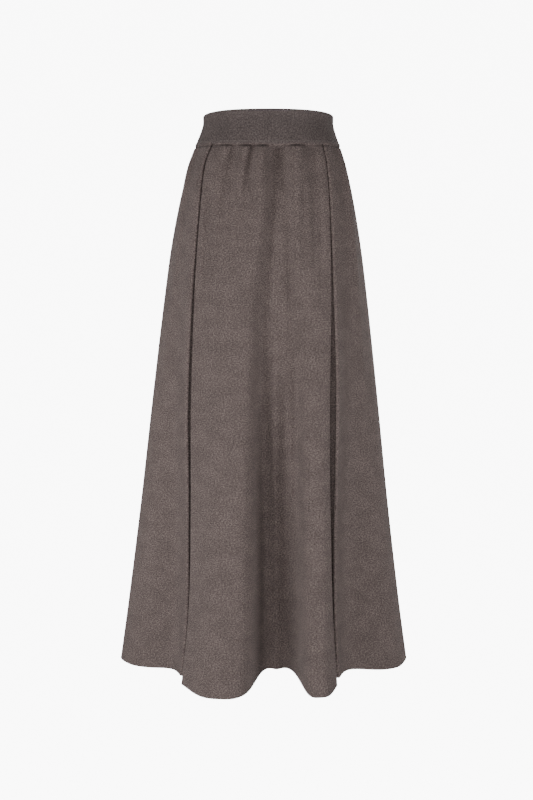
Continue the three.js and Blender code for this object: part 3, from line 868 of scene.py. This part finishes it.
def loops_group():
    """Knit loops: how high the yarn stands, from slanted legs in wales and courses."""
    tree = bpy.data.node_groups.new("knit_loops", "ShaderNodeTree")
    socket(tree, "Cloth", "NodeSocketVector")
    socket(tree, "Wale", "NodeSocketFloat", 0.0013)
    socket(tree, "Course", "NodeSocketFloat", 0.001)
    socket(tree, "Slant", "NodeSocketFloat", 0.9)
    socket(tree, "Height", "NodeSocketFloat", out=True)
    given = tree.nodes.new("NodeGroupInput").outputs
    parts = add(tree, "ShaderNodeSeparateXYZ", {0: given["Cloth"]}).outputs
    wandering = {"Vector": given["Cloth"], "Scale": 240.0, "Detail": 1.0}
    wander = add(tree, "ShaderNodeTexNoise", wandering, noise_dimensions="2D").outputs[0]
    wales = maths(tree, "DIVIDE", parts["X"], given["Wale"])
    courses = maths(tree, "ADD", maths(tree, "DIVIDE", parts["Y"], given["Course"]), wander)
    in_wale = maths(tree, "ABSOLUTE", maths(tree, "SUBTRACT", maths(tree, "FRACT", wales), 0.5))
    slanted = maths(tree, "ADD", courses, maths(tree, "MULTIPLY", in_wale, given["Slant"]))
    loop = maths(tree, "COSINE", maths(tree, "MULTIPLY", slanted, 2 * math.pi))
    leg = maths(tree, "SINE", maths(tree, "MULTIPLY", in_wale, 2 * math.pi))
    shaped = maths(tree, "ADD", maths(tree, "MULTIPLY", loop, 0.3), 0.7)
    height = maths(tree, "MULTIPLY", leg, shaped)
    end = tree.nodes.new("NodeGroupOutput")
    tree.links.new(height, end.inputs["Height"])
    return tree


MELANGE, LOOPS = melange_group(), loops_group()
print("groups:", MELANGE.name, "and", LOOPS.name)

# %% [markdown]
# The knit materials
# One function mixes all the yarns of the skirt. Wool-like knit scatters light off its nap, so the
# edges that turn away from the eye look paler: that is the sheen. Roughness and sheen are the same
# all over, so they are set on the shader itself.


# %% The skirt's materials
NAP_SHARE = 1.4  # how high the nap stands beside the loops
# Painted shade between the loops and a painted highlight on their tops, as tones that multiply the
# yarn's colour
LOOP_PAINTED_SHADE_AND_HIGHLIGHT = (0.72, 1.08)  # between the loops, and on top of them


def knit_material(name, yarn, dark, light, flecks, contrast, cloud, wale, course, depth, sheen):
    made = bpy.data.materials.new(name)
    made.use_nodes = True
    tree = made.node_tree
    shader = tree.nodes["Principled BSDF"]
    cloth = add(tree, "ShaderNodeUVMap", uv_map="cloth").outputs[0]
    mixed = add(tree, "ShaderNodeGroup", node_tree=MELANGE)
    for label, value in (
        ("Yarn", (*yarn, 1)),
        ("Dark Fibre", (*dark, 1)),
        ("Light Fibre", (*light, 1)),
        ("Fleck Length", flecks[0]),
        ("Fleck Height", flecks[1]),
        ("Contrast", contrast),
        ("Cloudiness", cloud),
    ):
        mixed.inputs[label].default_value = value
    loops = add(tree, "ShaderNodeGroup", node_tree=LOOPS)
    loops.inputs["Wale"].default_value = wale
    loops.inputs["Course"].default_value = course
    for group in (mixed, loops):
        tree.links.new(cloth, group.inputs["Cloth"])
    loop_height = loops.outputs["Height"]
    fuzz = {"Height": mixed.outputs["Fleck"], "Distance": depth * NAP_SHARE, "Strength": 0.8}
    nap = add(tree, "ShaderNodeBump", fuzz).outputs[0]
    knit = {"Height": loop_height, "Distance": depth, "Strength": 0.9, "Normal": nap}
    relief = add(tree, "ShaderNodeBump", knit).outputs[0]
    # The loops' height paints shade into the colour between the loops and a highlight on their tops
    colour = shaded(tree, mixed.outputs["Color"], remap(tree, loop_height, 0.0, 1.0, *LOOP_PAINTED_SHADE_AND_HIGHLIGHT))
    tree.links.new(colour, shader.inputs["Base Color"])
    tree.links.new(relief, shader.inputs["Normal"])
    shader.inputs["Roughness"].default_value = 0.92
    shader.inputs["Specular IOR Level"].default_value = 0.25
    shader.inputs["Sheen Weight"].default_value = sheen
    shader.inputs["Sheen Roughness"].default_value = 0.45
    shader.inputs["Sheen Tint"].default_value = (0.95, 0.88, 0.85, 1)
    return made


SKIRT_KNIT = knit_material(
    "skirt_knit",
    yarn=(0.142, 0.108, 0.101),
    dark=(0.06, 0.045, 0.041),
    light=(0.285, 0.226, 0.21),
    flecks=(0.0015, 0.0011),
    contrast=0.8,
    cloud=0.16,
    wale=0.00135,
    course=0.00105,
    depth=0.00035,
    sheen=0.06,
)
BAND_KNIT = knit_material(
    "band_knit",
    yarn=(0.119, 0.0935, 0.089),
    dark=(0.052, 0.041, 0.039),
    light=(0.22, 0.18, 0.172),
    flecks=(0.0012, 0.0017),
    contrast=0.7,
    cloud=0.12,
    wale=0.00125,
    course=0.0009,
    depth=0.00028,
    sheen=0.06,
)
# The linking stitches are the skirt's own yarn coloured lighter: a painted highlight that makes the
# loops show as light ticks
STITCH_YARN_PAINTED_LIGHT = knit_material(
    "linking_yarn",
    yarn=(0.19, 0.16, 0.15),
    dark=(0.11, 0.09, 0.08),
    light=(0.3, 0.26, 0.24),
    flecks=(0.002, 0.001),
    contrast=0.5,
    cloud=0.1,
    wale=0.0006,
    course=0.0006,
    depth=0.0001,
    sheen=0.06,
)
for piece in CLOTH_PIECES.values():
    piece.data.materials.append(SKIRT_KNIT)
waistband.data.materials.append(BAND_KNIT)
print("materials:", ", ".join(m.name for m in (SKIRT_KNIT, BAND_KNIT, STITCH_YARN_PAINTED_LIGHT)))

# %% [markdown]
# Sewing the stitches on
# The path runs just above the band's lower edge, on the tops of its puckers, so the path is taken
# from the band's own profile. The tree's inputs are set by their identifiers, and the result is
# turned into a plain mesh with its own UV map, because the yarn material reads one.

# %% The linking stitches
path_profile = np.array([(1 - STITCH_ABOVE / BAND_FRONT, HALF_BAND + 0.12, 0, 0)], float)
path_angle, path_around, _ = band_angles(RIBS * 2)
path_points = band_points(path_angle, path_around, path_profile, np.zeros(RIBS * 2))[:, 0]
path_mesh = bpy.data.meshes.new("seam_path")
path_edges = [(i, (i + 1) % len(path_points)) for i in range(len(path_points))]
path_mesh.from_pydata((path_points * MM).tolist(), path_edges, [])
seam_path = bpy.data.objects.new("seam_path", path_mesh)
bpy.context.scene.collection.objects.link(seam_path)
stitching = seam_path.modifiers.new("stitches", "NODES")
stitching.node_group = STITCHES
for label, value in (
    ("Spacing", band_length / RIBS * MM),
    ("Length", 0.0026),
    ("Bow", 0.0009),
    ("Yarn", 0.00042),
    ("Lean", 0.35),
    ("Seed", 4),
    ("Material", STITCH_YARN_PAINTED_LIGHT),
):
    stitching[STITCH_IDS[label]] = value
linking = plain_copy("linking_stitches", seam_path)
linking_uv = linking.data.uv_layers.new(name="cloth")
corner = np.empty(len(linking.data.loops), np.int32)
linking.data.loops.foreach_get("vertex_index", corner)
place = np.empty(len(linking.data.vertices) * 3, np.float32)
linking.data.vertices.foreach_get("co", place)
place = place.reshape(-1, 3)[corner]
linking_uv.data.foreach_set("uv", np.stack([place[:, 0] + place[:, 1], place[:, 2]], 1).ravel())
linking.data.shade_smooth()
print(f"{linking.name}: {len(linking.data.polygons)} faces")

# %% [markdown]
# Attaching the pieces
# Every piece rides on the one rigid body. The cloth pieces and the band each replace their plain
# solid, and the stitches ride on the same body. A panel's cut is a trapezium with curved sides.


for name, piece in CLOTH_PIECES.items():
    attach(piece, "root")
    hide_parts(name)
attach(waistband, "root")
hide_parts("waistband")
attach(linking, "root")

# %% [markdown]
# The studio
# The skirt stands in the air in the shape that wearing gives it, before a white paper sweep that
# is floor and backdrop in one. Two soft lights stand close by, far to the left and the right, so
# that each lobe throws its shade into the trough between them, and the cloth grows darker towards
# the hem. A third, further off in front, shows the weave, and two behind show the back. Lamps that
# made the paper white would also shine on the cloth's sides, so the paper glows for the camera's
# eye alone, and the sky gives the cloth next to nothing.

# %% The paper sweep
FLOOR_Z, WALL_Y, SWEEP_RADIUS, SWEEP_HALF = -1.65, 2.6, 1.0, 5.0
SWEEP_FRONT_Y, WALL_TOP, SWEEP_STEPS = -6.0, 4.0, 24
PAPER_GLOW = 9.0
sweep_line = [(SWEEP_FRONT_Y, FLOOR_Z)]
for step in range(SWEEP_STEPS + 1):
    angle = math.pi / 2 * step / SWEEP_STEPS
    sweep_y = WALL_Y - SWEEP_RADIUS + SWEEP_RADIUS * math.sin(angle)
    sweep_line.append((sweep_y, FLOOR_Z + SWEEP_RADIUS - SWEEP_RADIUS * math.cos(angle)))
sweep_line.append((WALL_Y, WALL_TOP))
sweep_points = [(x, y, z) for y, z in sweep_line for x in (-SWEEP_HALF, SWEEP_HALF)]
sweep_faces = [(2 * i, 2 * i + 1, 2 * i + 3, 2 * i + 2) for i in range(len(sweep_line) - 1)]
sweep_mesh = bpy.data.meshes.new("paper_sweep")
sweep_mesh.from_pydata(sweep_points, [], sweep_faces)
sweep_mesh.shade_smooth()
sweep = bpy.data.objects.new("paper_sweep", sweep_mesh)
bpy.context.scene.collection.objects.link(sweep)
paper = bpy.data.materials.new("white_paper")
paper.use_nodes = True
paper_shader = paper.node_tree.nodes["Principled BSDF"]
paper_shader.inputs["Base Color"].default_value = (0.92, 0.92, 0.92, 1)
paper_shader.inputs["Roughness"].default_value = 0.9
paper_shader.inputs["Emission Color"].default_value = (1, 1, 1, 1)
seen = add(paper.node_tree, "ShaderNodeLightPath").outputs["Is Camera Ray"]
glow = maths(paper.node_tree, "MULTIPLY", seen, PAPER_GLOW)
paper.node_tree.links.new(glow, paper_shader.inputs["Emission Strength"])
sweep.data.materials.append(paper)
print("paper sweep:", len(sweep_faces), "faces")


# %% The lights
MIDDLE = (0.0, 0.0, -0.47)
SKY_LIGHT, SKY_GLOW = 0.01, 9.0


def soft_light(name, place, size, watts):
    """A square light that faces the middle of the skirt."""
    lamp = bpy.data.lights.new(name, "AREA")
    lamp.shape, lamp.size, lamp.energy = "SQUARE", size, watts
    made = bpy.data.objects.new(name, lamp)
    made.location = place
    made.rotation_euler = (Vector(MIDDLE) - Vector(place)).to_track_quat("-Z", "Y").to_euler()
    bpy.context.scene.collection.objects.link(made)


soft_light("left_light", (-1.12, -0.94, -0.48), 0.5, 14.6)
soft_light("right_light", (1.2, -0.68, -0.48), 0.5, 9.2)
soft_light("front_light", (-0.05, -2.3, -0.3), 0.5, 27)
soft_light("back_left_light", (-1.35, 1.6, 0.3), 0.6, 13)
soft_light("back_right_light", (1.35, 1.6, 0.3), 0.6, 18)
world = bpy.data.worlds.new("studio")
world.use_nodes = True
sky = world.node_tree.nodes["Background"]
sky.inputs["Color"].default_value = (1, 1, 1, 1)
sky_seen = add(world.node_tree, "ShaderNodeLightPath").outputs["Is Camera Ray"]
sky_strength = remap(world.node_tree, sky_seen, 0.0, 1.0, SKY_LIGHT, SKY_GLOW)
world.node_tree.links.new(sky_strength, sky.inputs["Strength"])
bpy.context.scene.world = world

# %% The camera
CAMERA_PLACE, CAMERA_TARGET = Vector((-0.0025, -1.9, -0.33)), Vector((-0.0025, 0.0, -0.474))
camera_data = bpy.data.cameras.new("camera")
camera_data.sensor_width = 36.0
camera_data.lens = 50.27
camera = bpy.data.objects.new("camera", camera_data)
camera.location = CAMERA_PLACE
camera.rotation_euler = (CAMERA_TARGET - CAMERA_PLACE).to_track_quat("-Z", "Y").to_euler()
bpy.context.scene.collection.objects.link(camera)
bpy.context.scene.camera = camera
print("camera", round((CAMERA_TARGET - CAMERA_PLACE).length, 2), "m from its target")
